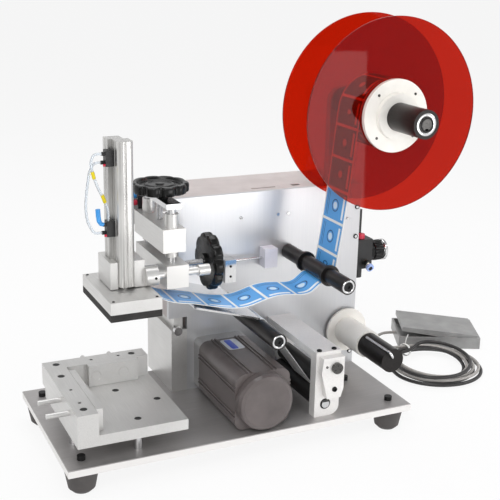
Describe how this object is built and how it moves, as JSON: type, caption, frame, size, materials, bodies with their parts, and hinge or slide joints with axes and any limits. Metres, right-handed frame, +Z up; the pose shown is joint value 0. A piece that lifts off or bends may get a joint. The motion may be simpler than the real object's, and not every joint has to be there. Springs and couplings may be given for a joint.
{
  "type": "bottle labelling machine",
  "caption": "Bench labelling machine: label reel, motor-driven nip, pneumatic press head on a two-axis adjuster, L-shaped stop fixture, foot switch.",
  "frame": {"origin": "on the floor below the middle of the machine's outline, cables and foot switch left out", "axes": "+X from the press head towards the reel's side, +Y from the operator towards the housing's back, +Z up"},
  "size_m": [1.0085, 0.4688, 0.6972],
  "materials": {
    "anodised_base": "clear anodised sheet, fine brushed, with bright edges",
    "fixture_alloy": "clear anodised, satin",
    "front_alloy": "light anodised plate, fine vertical grain",
    "housing_paint": "light grey powder coat, satin",
    "ground_steel": "ground and polished",
    "bright_chrome": "bright plated",
    "black_oxide": "black oxide, satin",
    "foot_rubber": "moulded grey rubber",
    "roller_rubber": "ground black rubber",
    "black_alloy": "black anodised, satin",
    "red_acrylic": "transparent red acrylic sheet",
    "white_plastic": "turned white acetal",
    "label_paper": "white liner with light blue printed labels",
    "motor_paint": "dark grey painted casting",
    "gear_alloy": "machined alloy",
    "black_gloss": "moulded black phenolic",
    "black_matt": "moulded black nylon",
    "press_foam": "black closed-cell foam",
    "pedal_paint": "grey hammered enamel",
    "cable_jacket": "black cable jacket",
    "foot_jacket": "grey cable jacket",
    "clear_tube": "clear polyurethane air tube"
  },
  "bodies": {
    "frame": {"base_plate": "anodised_base", "rubber_feet": "foot_rubber", "cap_screws": "black_oxide", "fixture_pillars": "ground_steel", "fixture_plate": "fixture_alloy", "left_stop_bar": "fixture_alloy", "rear_stop_bar": "fixture_alloy", "support_leg": "fixture_alloy", "front_plate": "front_alloy", "housing_cover": "housing_paint", "panel_screws": "bright_chrome", "reel_arm": "fixture_alloy", "fixed_axles": "ground_steel", "nip_bracket": "fixture_alloy", "motor": "motor_paint", "gearhead": "gear_alloy", "drive_belts": "roller_rubber", "slide_block": "fixture_alloy", "peel_plate": "ground_steel", "label_web": "label_paper", "sensor_rod": "bright_chrome", "air_regulator": "black_matt", "air_valve": "black_matt", "foot_switch": "pedal_paint", "cable_coil": "cable_jacket", "foot_cable": "foot_jacket", "foot_lead": "foot_jacket", "mains_lead": "cable_jacket", "mains_plug": "cable_jacket", "cable_glands": "black_matt"},
    "reel": {"reel_tube": "black_alloy", "reel_rear_disc": "red_acrylic", "label_roll": "label_paper"},
    "front_flange": {"reel_hub": "white_plastic", "reel_front_disc": "red_acrylic"},
    "guide_roll": {"guide_roller": "black_alloy"},
    "lower_roll": {"lower_roller": "black_alloy"},
    "drive_pulley": {"motor_pulley": "gear_alloy"},
    "traction": {"traction_shaft": "ground_steel", "traction_rubber": "roller_rubber"},
    "nip_arms": {"pinch_arms": "fixture_alloy"},
    "nip_roller": {"pinch_roller": "roller_rubber"},
    "rewind": {"rewind_drum": "black_alloy", "rewind_flange": "white_plastic"},
    "liner_clip": {"rewind_clip": "bright_chrome"},
    "height_carriage": {"guide_posts": "ground_steel", "carriage_block": "fixture_alloy"},
    "height_handwheel": {"height_wheel": "black_gloss"},
    "head": {"head_block": "fixture_alloy", "air_cylinder": "fixture_alloy", "flow_controls": "black_matt", "air_tubes": "clear_tube"},
    "cross_handwheel": {"cross_wheel": "black_gloss"},
    "press": {"press_plate": "fixture_alloy", "foam_pad": "press_foam"},
    "left_stop": {"left_stop_plate": "fixture_alloy"},
    "rear_stop": {"rear_stop_plate": "fixture_alloy"},
    "label_sensor": {"sensor_block": "black_matt"},
    "pressure_knob": {"regulator_knob": "black_gloss"},
    "pedal": {"foot_pedal": "pedal_paint"}
  },
  "joints": [
    {"name": "reel_spin", "type": "hinge", "parent": "frame", "child": "reel", "pos_m": [0.21105, -0.009, 0.5417], "axis": [0, 1, 0], "continuous": true},
    {"name": "flange_pull", "type": "slide", "parent": "reel", "child": "front_flange", "axis": [0, -1, 0], "range_m": [0, 0.085]},
    {"name": "guide_spin", "type": "hinge", "parent": "frame", "child": "guide_roll", "pos_m": [0.10775, -0.05, 0.284], "axis": [0, 1, 0], "continuous": true},
    {"name": "lower_spin", "type": "hinge", "parent": "frame", "child": "lower_roll", "pos_m": [-0.01225, -0.05, 0.209], "axis": [0, 1, 0], "continuous": true},
    {"name": "motor_turn", "type": "hinge", "parent": "frame", "child": "drive_pulley", "pos_m": [-0.02225, 0.077, 0.1], "axis": [0, 1, 0], "continuous": true},
    {"name": "traction_turn", "type": "hinge", "parent": "frame", "child": "traction", "pos_m": [0.09275, -0.03, 0.072], "axis": [0, 1, 0], "continuous": true},
    {"name": "nip_swing", "type": "hinge", "parent": "frame", "child": "nip_arms", "pos_m": [0.10375, -0.04, 0.14], "axis": [0, -1, 0], "range_deg": [0, 8], "stiffness_Nm_per_rad": 20, "springref_deg": -3.44},
    {"name": "nip_roll", "type": "hinge", "parent": "nip_arms", "child": "nip_roller", "pos_m": [0.10175, -0.03, 0.102], "axis": [0, 1, 0], "continuous": true},
    {"name": "rewind_turn", "type": "hinge", "parent": "frame", "child": "rewind", "pos_m": [0.23225, -0.03, 0.1195], "axis": [0, 1, 0], "continuous": true},
    {"name": "clip_pull", "type": "slide", "parent": "rewind", "child": "liner_clip", "axis": [0, -1, 0], "range_m": [0, 0.07]},
    {"name": "height_travel", "type": "slide", "parent": "frame", "child": "height_carriage", "axis": [0, 0, 1], "range_m": [-0.008, 0.004]},
    {"name": "height_turn", "type": "hinge", "parent": "height_carriage", "child": "height_handwheel", "pos_m": [-0.15125, 0.002, 0.43], "axis": [0, 0, 1], "range_deg": [-1441, 721]},
    {"name": "cross_travel", "type": "slide", "parent": "height_carriage", "child": "head", "axis": [1, 0, 0], "range_m": [-0.018, 0.01]},
    {"name": "cross_turn", "type": "hinge", "parent": "head", "child": "cross_handwheel", "pos_m": [-0.08325, -0.033, 0.314], "axis": [1, 0, 0], "range_deg": [-3241, 1801]},
    {"name": "press_stroke", "type": "slide", "parent": "head", "child": "press", "axis": [0, 0, -1], "range_m": [0, 0.1]},
    {"name": "left_stop_reach", "type": "slide", "parent": "frame", "child": "left_stop", "axis": [1, 0, 0], "range_m": [0, 0.022]},
    {"name": "rear_stop_reach", "type": "slide", "parent": "frame", "child": "rear_stop", "axis": [0, -1, 0], "range_m": [0, 0.04]},
    {"name": "sensor_place", "type": "slide", "parent": "frame", "child": "label_sensor", "axis": [-1, 0, 0], "range_m": [0, 0.05]},
    {"name": "pressure_turn", "type": "hinge", "parent": "frame", "child": "pressure_knob", "pos_m": [0.31275, 0.092, 0.254], "axis": [1, 0, 0], "range_deg": [-720, 720]},
    {"name": "pedal_press", "type": "hinge", "parent": "frame", "child": "pedal", "pos_m": [0.60972, 0.1663, 0.018], "axis": [-0.4226, -0.9063, 0], "range_deg": [0, 6], "stiffness_Nm_per_rad": 6, "springref_deg": -5.73}
  ],
  "couplings": [
    {"joint": "motor_turn", "follows": "reel_spin", "ratio": -3.7419},
    {"joint": "traction_turn", "follows": "reel_spin", "ratio": -3.7419},
    {"joint": "nip_roll", "follows": "reel_spin", "ratio": 3.7419},
    {"joint": "rewind_turn", "follows": "reel_spin", "ratio": -4.3176},
    {"joint": "guide_spin", "follows": "reel_spin", "ratio": -4.4615},
    {"joint": "lower_spin", "follows": "reel_spin", "ratio": -4.2963},
    {"joint": "height_turn", "follows": "height_travel", "rad_per_m": 3141.6},
    {"joint": "cross_turn", "follows": "cross_travel", "rad_per_m": 3141.6}
  ]
}
